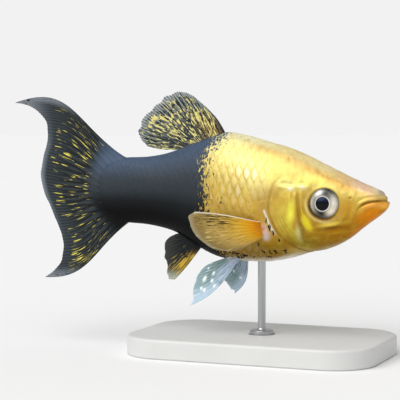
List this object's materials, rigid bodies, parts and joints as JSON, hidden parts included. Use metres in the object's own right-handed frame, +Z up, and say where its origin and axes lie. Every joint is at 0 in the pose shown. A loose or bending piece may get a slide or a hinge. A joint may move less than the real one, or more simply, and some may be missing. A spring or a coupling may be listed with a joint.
{
  "type": "tuxedo molly fish model",
  "caption": "Life-size still model of a gold and black tuxedo molly, swimming level on a slim steel rod above a flat rounded base.",
  "frame": {"origin": "centre of the display base's underside, straight below the rod", "axes": "+X towards the snout, +Y towards the fish's left flank, +Z up"},
  "size_m": [0.081, 0.032, 0.0534],
  "materials": {
    "gold_skin": "glossy gold scaled skin",
    "black_skin": "satin blue-black scaled skin",
    "orange_lip": "moist orange lip",
    "silver_iris": "polished, silver iris with a black pupil",
    "pale_fin": "thin clear fin with pale rays",
    "brushed_steel": "brushed",
    "pale_lacquer": "satin powder coat on aluminium"
  },
  "bodies": {
    "root": {"head": "gold_skin", "upper_jaw": "orange_lip", "lower_jaw": "orange_lip", "gill_cover_right": "gold_skin", "gill_cover_left": "gold_skin", "eye_right": "silver_iris", "eye_left": "silver_iris", "trunk": "gold_skin", "tail_stem": "black_skin", "tail_fin": "black_skin", "dorsal_fin": "black_skin", "anal_fin": "black_skin", "pectoral_fin_right": "gold_skin", "pectoral_fin_left": "gold_skin", "pelvic_fin_right": "pale_fin", "pelvic_fin_left": "pale_fin", "stand_rod": "brushed_steel", "stand_base": "pale_lacquer"}
  },
  "joints": []
}
